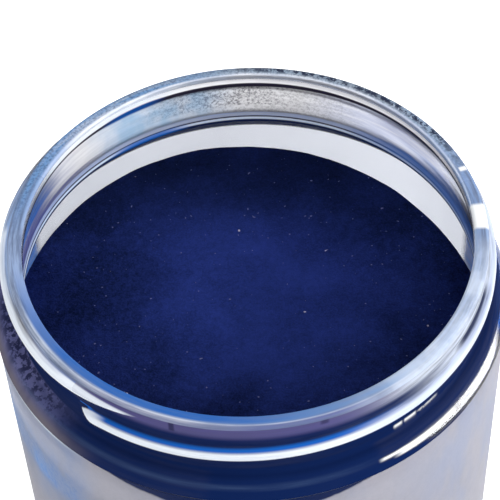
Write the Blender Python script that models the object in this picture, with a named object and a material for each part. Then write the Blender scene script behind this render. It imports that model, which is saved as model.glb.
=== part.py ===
"""Open screw-neck jar of dry pigment: a clear moulded jar, its label sleeve and the powder in it.

Metres, +Z up. The origin is the centre of the base, on the surface that the jar stands on.
"""
import math

import bmesh
import bpy

# Jar, overall
JAR_HEIGHT = 0.082
SIDE_WALL = 0.0009

# Base
FLOOR_WALL = 0.0014
PUSH_UP = 0.0010
STANDING_RING_WIDTH = 0.0050
HEEL_ROUND = 0.0040
HEEL_BEAD = 0.0030
FLOOR_ROUND = 0.0030

# Neck, with a lip at the rim that stands in from the bore
NECK_RADIUS = 0.03355
NECK_WALL = 0.00105
NECK_BELOW_THREAD = 0.0028
NECK_FILLET = 0.0008
BORE_EDGE_ROUND = 0.0006
LIP_STEP = 0.0010
LIP_DEPTH = 0.0018
RIM_ROUND = 0.0004

# Shoulder
SHOULDER_WIDTH = 0.00335
SHOULDER_WALL = 0.0013
SHOULDER_ROUND = 0.0020
SHOULDER_BEAD = 0.0002
UNDER_SHOULDER_ROUND = 0.0010

# Screw thread: single start, right hand
THREAD_PITCH = 0.00423
THREAD_DEPTH = 0.0012
THREAD_ROOT_HEIGHT = 0.0023
THREAD_CREST_HEIGHT = 0.0011
THREAD_ROOT_SINK = 0.0004
THREAD_RIM_GAP = 0.0004
THREAD_START_ANGLE = math.radians(-131.0)
THREAD_SWEEP = math.radians(374.0)
THREAD_LEAD_IN = math.radians(10.0)
THREAD_RUN_OUT = math.radians(26.0)
THREAD_END_SHARE = 0.25

# Label sleeve, in a panel sunk between the shoulder bead and the heel bead
LABEL_THICKNESS = 0.0002
LABEL_SET_BACK = 0.0001
LABEL_SEAM = 0.0020

# Pigment powder
POWDER_HEADSPACE = 0.0088
POWDER_SLOPE_X = -0.06
POWDER_SLOPE_Y = 0.02
POWDER_DISH = 0.0006

# Gap between pieces that touch
SEAT_GAP = 0.0003

# Facets
TURN_STEPS = 72
ARC_STEPS = 4
THREAD_STEPS = 104
POWDER_RINGS = 7
SMOOTH_ANGLE = math.radians(35.0)
MERGE_DISTANCE = 0.00001

# Radii that follow from the sizes above
BODY_RADIUS = NECK_RADIUS + SHOULDER_WIDTH
PANEL_RADIUS = BODY_RADIUS - LABEL_SET_BACK - LABEL_THICKNESS - SEAT_GAP
INNER_RADIUS = PANEL_RADIUS - SIDE_WALL
BORE_RADIUS = NECK_RADIUS - NECK_WALL
LIP_RADIUS = BORE_RADIUS - LIP_STEP
STANDING_RING_INNER = BODY_RADIUS - HEEL_ROUND - STANDING_RING_WIDTH
POWDER_RADIUS = INNER_RADIUS - SEAT_GAP

# Heights that follow from the sizes above
FLOOR_HEIGHT = PUSH_UP + FLOOR_WALL
PANEL_BOTTOM = HEEL_ROUND + HEEL_BEAD
THREAD_FULL_SWEEP = THREAD_SWEEP - THREAD_RUN_OUT
THREAD_FULL_RISE = THREAD_PITCH * THREAD_FULL_SWEEP / (2.0 * math.pi)
THREAD_START_HEIGHT = JAR_HEIGHT - THREAD_RIM_GAP - 0.5 * THREAD_ROOT_HEIGHT - THREAD_FULL_RISE
SHOULDER_HEIGHT = THREAD_START_HEIGHT - 0.5 * THREAD_ROOT_HEIGHT - NECK_BELOW_THREAD
UNDER_SHOULDER = SHOULDER_HEIGHT - SHOULDER_WALL
POWDER_LEVEL = UNDER_SHOULDER - POWDER_HEADSPACE

# Rounds, limited by the step that each one lies in
SHOULDER_CORNER = min(SHOULDER_ROUND, 0.65 * SHOULDER_WIDTH)
NECK_CORNER = min(NECK_FILLET, 0.25 * SHOULDER_WIDTH)
UNDER_SHOULDER_CORNER = min(UNDER_SHOULDER_ROUND, 0.45 * (INNER_RADIUS - BORE_RADIUS))
BORE_EDGE_CORNER = min(BORE_EDGE_ROUND, 0.45 * (INNER_RADIUS - BORE_RADIUS))
PANEL_TOP = SHOULDER_HEIGHT - SHOULDER_CORNER - SHOULDER_BEAD

# Finishes: colour, roughness, metallic
CLEAR_PLASTIC = ((0.80, 0.84, 0.90), 0.08, 0.0)
PALE_LABEL = ((0.45, 0.44, 0.52), 0.55, 0.0)
BLUE_PIGMENT = ((0.006, 0.010, 0.045), 1.0, 0.0)


def clear_scene():
    """Remove every object of the open scene."""
    for scene_object in list(bpy.data.objects):
        bpy.data.objects.remove(scene_object, do_unlink=True)


def give_material(piece, finish):
    """Give a piece a Principled material of its own."""
    colour, roughness, metallic = finish
    material = bpy.data.materials.new(piece.name)
    material.use_nodes = True
    shader = material.node_tree.nodes["Principled BSDF"]
    shader.inputs["Base Color"].default_value = (*colour, 1.0)
    shader.inputs["Roughness"].default_value = roughness
    shader.inputs["Metallic"].default_value = metallic
    piece.data.materials.append(material)


def add_piece(name, builder):
    """Link a new object whose mesh holds what the bmesh has, smooth but for its sharp edges."""
    mesh = bpy.data.meshes.new(name)
    builder.to_mesh(mesh)
    builder.free()
    mesh.shade_smooth()
    mesh.set_sharp_from_angle(angle=SMOOTH_ANGLE)
    piece = bpy.data.objects.new(name, mesh)
    bpy.context.scene.collection.objects.link(piece)
    return piece


def draw_half_section(builder, half_section):
    """Draw (radius, height) points as a chain of edges in the XZ plane."""
    points = [builder.verts.new((radius, 0.0, height)) for radius, height in half_section]
    edges = [builder.edges.new(pair) for pair in zip(points, points[1:])]
    return points + edges


def arc(centre_radius, centre_height, size, start_degrees, end_degrees):
    """Points of an arc in the half-section, both ends included."""
    points = []
    for step in range(ARC_STEPS + 1):
        angle = math.radians(start_degrees + (end_degrees - start_degrees) * step / ARC_STEPS)
        points.append((centre_radius + size * math.cos(angle), centre_height + size * math.sin(angle)))
    return points


def inner_half_section():
    """The inside, from the middle of the floor up to the rim's land."""
    return [
        (0.0, FLOOR_HEIGHT),
        *arc(INNER_RADIUS - FLOOR_ROUND, FLOOR_HEIGHT + FLOOR_ROUND, FLOOR_ROUND, -90, 0),
        *arc(INNER_RADIUS - UNDER_SHOULDER_CORNER, UNDER_SHOULDER - UNDER_SHOULDER_CORNER,
             UNDER_SHOULDER_CORNER, 0, 90),
        *arc(BORE_RADIUS + BORE_EDGE_CORNER, UNDER_SHOULDER + BORE_EDGE_CORNER,
             BORE_EDGE_CORNER, 270, 180),
        (BORE_RADIUS, JAR_HEIGHT - LIP_DEPTH - LIP_STEP),
        (LIP_RADIUS, JAR_HEIGHT - LIP_DEPTH),
        *arc(LIP_RADIUS + RIM_ROUND, JAR_HEIGHT - RIM_ROUND, RIM_ROUND, 180, 90),
    ]


def outer_half_section():
    """The outside, from the rim's land down to the middle of the underside."""
    return [
        *arc(NECK_RADIUS - RIM_ROUND, JAR_HEIGHT - RIM_ROUND, RIM_ROUND, 90, 0),
        *arc(NECK_RADIUS + NECK_CORNER, SHOULDER_HEIGHT + NECK_CORNER, NECK_CORNER, 180, 270),
        *arc(BODY_RADIUS - SHOULDER_CORNER, SHOULDER_HEIGHT - SHOULDER_CORNER, SHOULDER_CORNER, 90, 0),
        (BODY_RADIUS, PANEL_TOP),
        (PANEL_RADIUS, PANEL_TOP),
        (PANEL_RADIUS, PANEL_BOTTOM),
        (BODY_RADIUS, PANEL_BOTTOM),
        *arc(BODY_RADIUS - HEEL_ROUND, HEEL_ROUND, HEEL_ROUND, 0, -90),
        (STANDING_RING_INNER, 0.0),
        (STANDING_RING_INNER - PUSH_UP, PUSH_UP),
        (0.0, PUSH_UP),
    ]


def thread_share(along):
    """Share of the full thread that stands at an angle along it: tapered at both ends."""
    lead_in = along / THREAD_LEAD_IN
    run_out = (THREAD_SWEEP - along) / THREAD_RUN_OUT
    rise = math.sin(0.5 * math.pi * min(1.0, lead_in, run_out))
    return THREAD_END_SHARE + (1.0 - THREAD_END_SHARE) * rise


def make_thread():
    """The raised helix on the neck, with its root sunk into the wall."""
    builder = bmesh.new()
    root = NECK_RADIUS - THREAD_ROOT_SINK
    sections = []
    for step in range(THREAD_STEPS + 1):
        along = THREAD_SWEEP * step / THREAD_STEPS
        angle = THREAD_START_ANGLE + along
        height = THREAD_START_HEIGHT + THREAD_PITCH * along / (2.0 * math.pi)
        share = thread_share(along)
        crest = NECK_RADIUS + THREAD_DEPTH * share
        half_root = 0.5 * THREAD_ROOT_HEIGHT * share
        half_crest = 0.5 * THREAD_CREST_HEIGHT * share
        outline = [(root, -half_root), (crest, -half_crest), (crest, half_crest), (root, half_root)]
        sections.append([
            builder.verts.new((radius * math.cos(angle), radius * math.sin(angle), height + rise))
            for radius, rise in outline
        ])
    for here, ahead in zip(sections, sections[1:]):
        for corner in range(len(here)):
            after = (corner + 1) % len(here)
            builder.faces.new((here[corner], here[after], ahead[after], ahead[corner]))
    builder.faces.new(sections[0])
    builder.faces.new(sections[-1])
    bmesh.ops.recalc_face_normals(builder, faces=builder.faces)
    thread = add_piece("thread_ridge", builder)
    thread.hide_render = True
    thread.display_type = "WIRE"
    return thread


def make_jar_body():
    """The moulding: a turned cup from one half-section, with the thread joined to its neck."""
    builder = bmesh.new()
    draw_half_section(builder, inner_half_section() + outer_half_section())
    jar = add_piece("jar_body", builder)
    turn = jar.modifiers.new("turn", "SCREW")
    turn.angle = 2.0 * math.pi
    turn.steps = TURN_STEPS
    turn.render_steps = TURN_STEPS
    turn.use_merge_vertices = True
    turn.merge_threshold = MERGE_DISTANCE
    join = jar.modifiers.new("thread", "BOOLEAN")
    join.operation = "UNION"
    join.solver = "EXACT"
    join.object = make_thread()
    give_material(jar, CLEAR_PLASTIC)


def make_label():
    """The sleeve round the label panel: an upright strip spun almost all the way round."""
    inner = PANEL_RADIUS + SEAT_GAP
    outer = inner + LABEL_THICKNESS
    bottom = PANEL_BOTTOM + SEAT_GAP
    top = PANEL_TOP - SEAT_GAP
    seam_angle = LABEL_SEAM / outer
    builder = bmesh.new()
    corners = [(inner, bottom), (outer, bottom), (outer, top), (inner, top)]
    strip = builder.faces.new([builder.verts.new((radius, 0.0, height)) for radius, height in corners])
    bmesh.ops.spin(builder, geom=[strip], cent=(0, 0, 0), axis=(0, 0, 1), dvec=(0, 0, 0),
                   angle=2.0 * math.pi - seam_angle, steps=TURN_STEPS, use_duplicate=False)
    bmesh.ops.recalc_face_normals(builder, faces=builder.faces)
    label = add_piece("label", builder)
    label.rotation_euler.z = 0.5 * math.pi + 0.5 * seam_angle
    give_material(label, PALE_LABEL)


def powder_height(x, y):
    """Height of the powder's surface: a level that tilts and sinks a little towards the middle."""
    hollow = 1.0 - (x * x + y * y) / (POWDER_RADIUS * POWDER_RADIUS)
    return POWDER_LEVEL + POWDER_SLOPE_X * x + POWDER_SLOPE_Y * y - POWDER_DISH * hollow


def make_powder():
    """The powder: a turned plug that follows the floor, with its upper rings set to the surface."""
    floor = FLOOR_HEIGHT + SEAT_GAP
    corner = FLOOR_ROUND - SEAT_GAP
    top = [(POWDER_RADIUS * ring / POWDER_RINGS, POWDER_LEVEL) for ring in range(POWDER_RINGS + 1)]
    side = arc(POWDER_RADIUS - corner, floor + corner, corner, 0, -90) + [(0.0, floor)]
    builder = bmesh.new()
    chain = draw_half_section(builder, top + side)
    bmesh.ops.spin(builder, geom=chain, cent=(0, 0, 0), axis=(0, 0, 1), dvec=(0, 0, 0),
                   angle=2.0 * math.pi, steps=TURN_STEPS, use_merge=True)
    bmesh.ops.remove_doubles(builder, verts=builder.verts, dist=MERGE_DISTANCE)
    bmesh.ops.recalc_face_normals(builder, faces=builder.faces)
    surface = [vertex for vertex in builder.verts if abs(vertex.co.z - POWDER_LEVEL) < MERGE_DISTANCE]
    for vertex in surface:
        vertex.co.z = powder_height(vertex.co.x, vertex.co.y)
    powder = add_piece("pigment_powder", builder)
    give_material(powder, BLUE_PIGMENT)


def main():
    """Build the jar, its label and its powder."""
    clear_scene()
    make_jar_body()
    make_label()
    make_powder()


main()
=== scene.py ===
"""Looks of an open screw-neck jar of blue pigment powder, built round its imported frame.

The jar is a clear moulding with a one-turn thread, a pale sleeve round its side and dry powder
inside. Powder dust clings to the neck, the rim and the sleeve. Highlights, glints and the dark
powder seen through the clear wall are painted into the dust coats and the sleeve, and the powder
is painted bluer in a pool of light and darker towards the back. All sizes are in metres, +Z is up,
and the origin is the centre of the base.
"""

import logging
import math
from dataclasses import dataclass
from enum import Enum
from typing import Any, Callable

import bpy
from mathutils import Matrix, Vector, noise


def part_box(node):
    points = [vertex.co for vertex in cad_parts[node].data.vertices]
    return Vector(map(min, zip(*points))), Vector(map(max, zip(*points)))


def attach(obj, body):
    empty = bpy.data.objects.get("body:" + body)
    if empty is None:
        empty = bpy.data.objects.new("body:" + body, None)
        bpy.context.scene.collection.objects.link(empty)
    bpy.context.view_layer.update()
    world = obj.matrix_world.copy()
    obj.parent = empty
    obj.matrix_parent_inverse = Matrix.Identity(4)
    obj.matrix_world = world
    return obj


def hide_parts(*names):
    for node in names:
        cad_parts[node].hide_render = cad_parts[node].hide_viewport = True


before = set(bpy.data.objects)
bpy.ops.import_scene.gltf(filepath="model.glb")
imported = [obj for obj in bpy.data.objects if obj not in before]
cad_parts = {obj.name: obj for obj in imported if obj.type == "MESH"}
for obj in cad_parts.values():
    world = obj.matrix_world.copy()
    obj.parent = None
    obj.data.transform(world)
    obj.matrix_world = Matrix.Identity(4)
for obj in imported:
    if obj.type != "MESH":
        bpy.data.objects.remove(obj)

LOG = logging.getLogger("pigment_jar")
ROOT_BODY = "root"
IMAGE_PIXELS = 500
SENSOR_MM = 36.0
MILLIMETRE = 0.001
SAME_PLACE = 0.00001
NOISE_MIDDLE = 0.5
POWDER_CLEARANCE = 0.00005
HEADSPACE = 0.0088

Point = tuple[float, float]
Span = tuple[float, float]
Place = tuple[float, float, float]
Colour = tuple[float, float, float]

WHITE: Colour = (1.0, 1.0, 1.0)
BLACK: Colour = (0.0, 0.0, 0.0)
ACROSS: Place = (1.0, 0.0, 0.0)
SLANT: Place = (0.26, 0.81, -0.34)


class Ray(Enum):
    """Kinds of ray that see the white surroundings as they are in the picture."""

    CAMERA = "Is Camera Ray"
    GLOSSY = "Is Glossy Ray"
    TRANSMISSION = "Is Transmission Ray"


class Shade:
    """An output socket of a shader node, with the sums that Math nodes give."""

    def __init__(self, sheet: "ShaderSheet", socket: bpy.types.NodeSocket) -> None:
        """Keep the sheet that the node is on and its socket."""
        self.sheet = sheet
        self.socket = socket

    def __add__(self, other: "Shade | float") -> "Shade":
        """Sum of two values."""
        return self.sheet.maths("ADD", self, other)

    __radd__ = __add__

    def __sub__(self, other: "Shade | float") -> "Shade":
        """This value less another."""
        return self.sheet.maths("SUBTRACT", self, other)

    def __rsub__(self, other: "Shade | float") -> "Shade":
        """Another value less this one."""
        return self.sheet.maths("SUBTRACT", other, self)

    def __mul__(self, other: "Shade | float") -> "Shade":
        """Product of two values."""
        return self.sheet.maths("MULTIPLY", self, other)

    __rmul__ = __mul__

    def __truediv__(self, other: "Shade | float") -> "Shade":
        """This value divided by another."""
        return self.sheet.maths("DIVIDE", self, other)

    def __pow__(self, power: float) -> "Shade":
        """This value to a power."""
        return self.sheet.maths("POWER", self, power)

    def between(self, low: float, high: float) -> "Shade":
        """Smooth step from 0 at low to 1 at high, falling where low is the larger."""
        sockets = {"Value": self, "From Min": low, "From Max": high, "To Min": 0.0, "To Max": 1.0}
        if low > high:
            sockets.update({"From Min": high, "From Max": low, "To Min": 1.0, "To Max": 0.0})
        return self.sheet.node("ShaderNodeMapRange", {"interpolation_type": "SMOOTHSTEP"}, sockets)

    def most(self, other: "Shade | float") -> "Shade":
        """The larger of two values."""
        return self.sheet.maths("MAXIMUM", self, other)


class ShaderSheet:
    """A node tree that is written as Python expressions."""

    def __init__(self, owner: bpy.types.Material | bpy.types.World) -> None:
        """Empty the node tree of a material or a world and keep it."""
        owner.use_nodes = True
        self.tree = owner.node_tree
        self.tree.nodes.clear()

    def node(self, kind: str, settings: dict[str, Any], sockets: dict[str | int, Any],
             output: str | int = 0) -> Shade:
        """Add a node, set it up and link it.

        Args:
            kind: the node's type name.
            settings: properties set before the sockets.
            sockets: values or links by the input's name or number.
            output: name or number of the output that is returned.

        Returns:
            The chosen output socket.
        """
        made = self.tree.nodes.new(kind)
        for name, setting in settings.items():
            setattr(made, name, setting)
        for name, value in sockets.items():
            target = made.inputs[name]
            if isinstance(value, Shade):
                self.tree.links.new(value.socket, target)
            elif isinstance(value, tuple) and target.type == "RGBA" and len(value) == 3:
                target.default_value = (*value, 1.0)
            else:
                target.default_value = value
        return Shade(self, made.outputs[output]) if made.outputs else Shade(self, made.inputs[0])

    def maths(self, operation: str, first: Shade | float, second: Shade | float) -> Shade:
        """A Math node on two values."""
        return self.node("ShaderNodeMath", {"operation": operation}, {0: first, 1: second})

    def coordinates(self) -> Shade:
        """The piece's own coordinates, which are metres in the jar's frame."""
        return self.node("ShaderNodeTexCoord", {}, {}, "Object")

    def axes(self, place: Shade) -> tuple[Shade, Shade, Shade]:
        """Split a place into its three coordinates."""
        split = self.node("ShaderNodeSeparateXYZ", {}, {0: place}).socket.node
        return tuple(Shade(self, socket) for socket in split.outputs)

    def stretch(self, place: Shade, scale: Place = (1.0, 1.0, 1.0),
                shift: Place = (0.0, 0.0, 0.0)) -> Shade:
        """A place scaled and then shifted, for stretched or offset patterns."""
        return self.node("ShaderNodeMapping", {}, {"Vector": place, "Scale": scale, "Location": shift})

    def blend(self, share: Shade | float, first: Shade | Colour, second: Shade | Colour) -> Shade:
        """Mix of two colours, the second by its share."""
        settings = {"data_type": "RGBA", "blend_type": "MIX"}
        return self.node("ShaderNodeMix", settings, {0: share, 6: first, 7: second}, 2)

    def bump(self, height: Shade, depth: float) -> Shade:
        """Normal of a surface whose height changes by a depth in metres."""
        return self.node("ShaderNodeBump", {}, {"Height": height, "Distance": depth, "Strength": 1.0})

    def principled(self, sockets: dict[str | int, Any]) -> Shade:
        """A Principled shader with these sockets."""
        return self.node("ShaderNodeBsdfPrincipled", {}, sockets)

    def surface(self, shader: Shade) -> None:
        """Send a shader to the material's output."""
        self.node("ShaderNodeOutputMaterial", {}, {"Surface": shader})


@dataclass(frozen=True)
class Pattern:
    """Noise whose lumps are of one size in metres, stepped between two of its values."""

    size: float
    detail: float = 3.0
    roughness: float = 0.55
    low: float = 0.0
    high: float = 1.0

    def raw(self, sheet: ShaderSheet, place: Shade) -> Shade:
        """The noise at a place, about its middle value."""
        return sheet.node("ShaderNodeTexNoise", {}, {
            "Vector": place, "Scale": 1.0 / self.size, "Detail": self.detail, "Roughness": self.roughness,
        })

    def read(self, sheet: ShaderSheet, place: Shade) -> Shade:
        """The noise at a place, 0 up to the low value and 1 from the high one."""
        return self.raw(sheet, place).between(self.low, self.high)


class Modeller:
    """Edit-mode steps that the pieces share."""

    SEED_SIZE = 0.001
    MERGE_DISTANCE = 0.000002

    @staticmethod
    def start() -> None:
        """Leave edit mode and deselect everything."""
        if bpy.context.object and bpy.context.object.mode != "OBJECT":
            bpy.ops.object.mode_set(mode="OBJECT")
        bpy.ops.object.select_all(action="DESELECT")

    @classmethod
    def turn(cls, name: str, half_section: list[Point], steps: int) -> bpy.types.Object:
        """Draw a half-section by extruding a vertex, and spin it round the jar's axis.

        Args:
            name: the new piece's name.
            half_section: (radius, height) points in order.
            steps: columns of faces in a full turn.

        Returns:
            The turned piece, closed and with its faces outwards.
        """
        cls.start()
        radius, height = half_section[0]
        bpy.ops.mesh.primitive_plane_add(size=cls.SEED_SIZE, location=(0.0, 0.0, 0.0))
        piece = bpy.context.object
        piece.name = piece.data.name = name
        bpy.ops.object.mode_set(mode="EDIT")
        bpy.ops.mesh.select_all(action="SELECT")
        bpy.ops.mesh.merge(type="CENTER")
        bpy.ops.transform.translate(value=(radius, 0.0, height))
        for (last_radius, last_height), (radius, height) in zip(half_section, half_section[1:]):
            step = (radius - last_radius, 0.0, height - last_height)
            bpy.ops.mesh.extrude_region_move(TRANSFORM_OT_translate={"value": step})
        bpy.ops.mesh.select_all(action="SELECT")
        bpy.ops.mesh.spin(steps=steps, angle=2.0 * math.pi, center=(0.0, 0.0, 0.0), axis=(0.0, 0.0, 1.0))
        bpy.ops.mesh.select_all(action="SELECT")
        bpy.ops.mesh.remove_doubles(threshold=cls.MERGE_DISTANCE)
        bpy.ops.mesh.normals_make_consistent(inside=False)
        bpy.ops.object.mode_set(mode="OBJECT")
        return piece

    @staticmethod
    def move_points(piece: bpy.types.Object, rule: Callable[[Vector], Vector]) -> None:
        """Put every vertex of a piece where a rule says."""
        for vertex in piece.data.vertices:
            vertex.co = rule(vertex.co)
        piece.data.update()

    @staticmethod
    def smooth(piece: bpy.types.Object, degrees: float) -> None:
        """Shade a piece smooth but for edges sharper than an angle."""
        bpy.ops.object.select_all(action="DESELECT")
        piece.select_set(True)
        bpy.context.view_layer.objects.active = piece
        bpy.ops.object.shade_smooth_by_angle(angle=math.radians(degrees))

    @staticmethod
    def dress(piece: bpy.types.Object, material: bpy.types.Material) -> None:
        """Give a piece one material."""
        piece.data.materials.clear()
        piece.data.materials.append(material)


def arc(centre: Point, size: float, start: float, end: float, steps: int) -> list[Point]:
    """Points of an arc in a half-section, both ends included, its angles in degrees."""
    points = []
    for step in range(steps + 1):
        angle = math.radians(start + (end - start) * step / steps)
        points.append((centre[0] + size * math.cos(angle), centre[1] + size * math.sin(angle)))
    return points


def straight(start: Point, end: Point, steps: int) -> list[Point]:
    """Points along a straight stretch, without its two ends."""
    shares = [step / steps for step in range(1, steps)]
    return [(start[0] + (end[0] - start[0]) * t, start[1] + (end[1] - start[1]) * t) for t in shares]


def smooth_step(value: float) -> float:
    """Ease a share that is held between 0 and 1."""
    share = min(1.0, max(0.0, value))
    return share * share * (3.0 - 2.0 * share)


class Zone(Enum):
    """Parts of the moulding that dust and painted highlights and shade lie on."""

    BORE = "inside of the neck"
    RIM = "land and rounds of the rim"
    LIP = "land and rounds of the rim, by the distance from its inner edge"
    NECK = "outside of the neck, thread included"
    LEDGE = "outside of the neck, by the height over the thread"
    RIDGE = "thread that stands out of the neck, by the height over its middle"
    SHOULDER = "shoulder and its round"
    UNDERSIDE = "inside of the jar below the neck"


class Grain(Enum):
    """Ways in which a coat is broken up."""

    EVEN = "even"
    STREAKS = "streaks round the neck"
    SPECKLE = "fine dark grains"
    CLOUDS = "soft clouds"
    MOTTLE = "crowded sharp specks"


@dataclass(frozen=True)
class Coat:
    """A patch of dust or stain, or of painted highlight, glint, shade or see-through colour, on one zone
    of the moulding.

    It lies between two distances in millimetres, from the rim down unless its zone says otherwise.
    Directions are in degrees, 0 at +X and 90 at +Y.
    """

    zone: Zone
    colour: Colour
    cover: float
    near: float
    far: float
    azimuth: float = 0.0
    spread: float = 180.0
    grain: Grain = Grain.STREAKS
    edge: float = 0.25
    fade: float = 12.0
    floor: float = 0.4


class DustAndPaintedLightGround:
    """Places on the moulding, as shader values that coats are masked by."""

    BORDER = 0.0002
    FILLET_LOW = 0.1
    FILLET_HIGH = 0.4
    RIDGE_SPAN: Span = (0.0002, 0.0005)
    INSIDE_SPAN: Span = (0.0004, 0.0001)
    STREAK_SQUEEZE = 0.07
    PATTERNS = {
        Grain.STREAKS: Pattern(0.0006, detail=4.0, roughness=0.6, low=0.35, high=0.65),
        Grain.SPECKLE: Pattern(0.00042, detail=4.0, roughness=0.75, low=0.44, high=0.64),
        Grain.CLOUDS: Pattern(0.0050, low=0.30, high=0.65),
        Grain.MOTTLE: Pattern(0.0011, detail=4.0, roughness=0.7, low=0.44, high=0.54),
    }

    def __init__(self, sheet: ShaderSheet, jar: "JarBody") -> None:
        """Work out the places and the grains once for all coats.

        Args:
            sheet: the material's node tree.
            jar: the moulding whose sizes bound the zones.
        """
        place = sheet.coordinates()
        self.x, self.y, self.z = sheet.axes(place)
        self.radius = (self.x * self.x + self.y * self.y) ** 0.5
        self.depth = jar.height - self.z
        self.from_lip = self.radius - jar.lip_radius
        turn = 2.0 * math.pi
        angle = sheet.maths("ARCTAN2", self.y, self.x)
        along = sheet.maths("FLOORED_MODULO", angle - jar.thread_start, turn)
        self.over_thread = self.z - along * (jar.thread_pitch / turn) - jar.thread_low
        self.zones = self.mark_zones(jar)
        self.grains = self.break_up(sheet, place)

    def mark_zones(self, jar: "JarBody") -> dict[Zone, Shade]:
        """Masks of the zones that the moulding's sizes bound."""
        mid_wall = jar.neck_radius - 0.5 * jar.neck_wall
        rim_foot = jar.height - jar.rim_round
        fillet_low = jar.shoulder + self.FILLET_LOW * jar.neck_fillet
        fillet_high = jar.shoulder + self.FILLET_HIGH * jar.neck_fillet
        inner = self.radius.between(mid_wall + self.BORDER, mid_wall - self.BORDER)
        top = self.z.between(rim_foot - self.BORDER, rim_foot)
        above = self.z.between(fillet_high, jar.shoulder + jar.neck_fillet)
        over_underside = self.z.between(jar.under_shoulder - self.BORDER, jar.under_shoulder + self.BORDER)
        neck = (1.0 - inner) * (1.0 - top) * self.z.between(fillet_low, fillet_high)
        ridge = (self.radius - jar.neck_radius).between(*self.RIDGE_SPAN)
        within = (self.radius - jar.inner_radius).between(*self.INSIDE_SPAN)
        return {
            Zone.BORE: inner * (1.0 - top) * over_underside,
            Zone.RIM: top,
            Zone.LIP: top,
            Zone.NECK: neck,
            Zone.LEDGE: neck,
            Zone.RIDGE: neck * ridge,
            Zone.SHOULDER: (1.0 - inner) * (1.0 - above) * over_underside.most(1.0 - within),
            Zone.UNDERSIDE: within * (1.0 - over_underside),
        }

    def break_up(self, sheet: ShaderSheet, place: Shade) -> dict[Grain, Shade | float]:
        """Masks of the ways in which a coat is broken up."""
        squeezed = sheet.node("ShaderNodeCombineXYZ", {}, {
            0: self.x * self.STREAK_SQUEEZE, 1: self.y * self.STREAK_SQUEEZE, 2: self.z - self.radius,
        })
        grains: dict[Grain, Shade | float] = {Grain.EVEN: 1.0}
        for grain, pattern in self.PATTERNS.items():
            grains[grain] = pattern.read(sheet, squeezed if grain is Grain.STREAKS else place)
        return grains

    def facing(self, azimuth: float, spread: float, soft: float) -> Shade | float:
        """1 within a spread of a direction and 0 beyond its soft edge, all in degrees."""
        if spread >= 180.0:
            return 1.0
        turn = math.radians(azimuth)
        ahead = (self.x * math.cos(turn) + self.y * math.sin(turn)) / self.radius
        return ahead.between(math.cos(math.radians(min(180.0, spread + soft))),
                             math.cos(math.radians(max(0.0, spread - soft))))

    def share(self, coat: Coat) -> Shade:
        """How much of the surface a coat hides at each place."""
        measure = self.depth
        if coat.zone in (Zone.LEDGE, Zone.RIDGE):
            measure = self.over_thread
        elif coat.zone is Zone.LIP:
            measure = self.from_lip
        near, far, soft = (size * MILLIMETRE for size in (coat.near, coat.far, coat.edge))
        band = measure.between(near - soft, near + soft) * measure.between(far + soft, far - soft)
        broken = self.grains[coat.grain]
        if coat.grain in (Grain.STREAKS, Grain.CLOUDS):
            broken = broken * (1.0 - coat.floor) + coat.floor
        mask = self.zones[coat.zone] * band * broken
        return mask * self.facing(coat.azimuth, coat.spread, coat.fade) * coat.cover


WARM_DARK: Colour = (0.044, 0.038, 0.066)
NAVY: Colour = (0.010, 0.017, 0.062)
DEEP_NAVY: Colour = (0.006, 0.009, 0.036)
PIGMENT_BLUE: Colour = (0.012, 0.128, 0.540)
BRIGHT_BLUE: Colour = (0.010, 0.150, 0.620)
HAZE_BLUE: Colour = (0.300, 0.460, 0.800)
PAINTED_BEVEL_HIGHLIGHT_BLUE: Colour = (0.140, 0.230, 0.400)
PALE_GREY: Colour = (0.560, 0.580, 0.640)
PALE_DUST_AND_SHEEN: Colour = (0.700, 0.770, 0.900)
LIP_BLUE: Colour = (0.018, 0.110, 0.420)
LAVENDER: Colour = (0.092, 0.086, 0.235)
PURPLE_GREY: Colour = (0.150, 0.155, 0.330)
PAINTED_THREAD_HIGHLIGHT: Colour = (0.860, 0.920, 1.000)
PAINTED_GLINT_WHITE: Colour = (0.900, 0.910, 0.920)
# Navy dust at the foot of the bore and below it; on the neck and the shoulder it is also painted
# see-through of the dark powder behind the clear wall.
NAVY_DUST_AND_SEE_THROUGH: Colour = (0.005, 0.016, 0.080)
FILM_GREY: Colour = (0.150, 0.145, 0.170)
FILM_BLUE: Colour = (0.160, 0.340, 0.600)
FILM_VIOLET: Colour = (0.090, 0.110, 0.360)
FILM_TEAL: Colour = (0.030, 0.150, 0.520)
SLATE_BLUE: Colour = (0.280, 0.370, 0.480)
FOOT_HAZE: Colour = (0.480, 0.590, 0.860)
FOOT_LIGHT: Colour = (0.700, 0.820, 1.000)
LIP_STREAK: Colour = (0.130, 0.280, 0.540)
FILM_LAVENDER: Colour = (0.340, 0.400, 0.860)
FOOT_BLUE: Colour = (0.090, 0.220, 0.640)
BROWN_GREY: Colour = (0.170, 0.150, 0.165)
PAINTED_THREAD_HIGHLIGHT_BLUE: Colour = (0.580, 0.660, 0.880)
STAIN_GREY: Colour = (0.76, 0.75, 0.79)
STAIN_MIST: Colour = (0.58, 0.69, 0.84)
STAIN_SKY: Colour = (0.18, 0.48, 0.92)
STAIN_LILAC: Colour = (0.50, 0.58, 0.94)
STAIN_INDIGO: Colour = (0.12, 0.19, 0.52)
STAIN_DEEP: Colour = (0.06, 0.16, 0.50)
STAIN_HAZE: Colour = (0.25, 0.42, 0.80)
STAIN_BLUE: Colour = (0.26, 0.40, 0.88)

# Only the cover of these counts, as roughness; their colour is not used.
FROST: tuple[Coat, ...] = (
    Coat(Zone.BORE, PAINTED_GLINT_WHITE, 0.42, 0.0, 9.4, 85, 85, Grain.EVEN),
    Coat(Zone.RIM, PAINTED_GLINT_WHITE, 0.38, -1.0, 1.2, 85, 75, Grain.EVEN),
)

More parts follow.
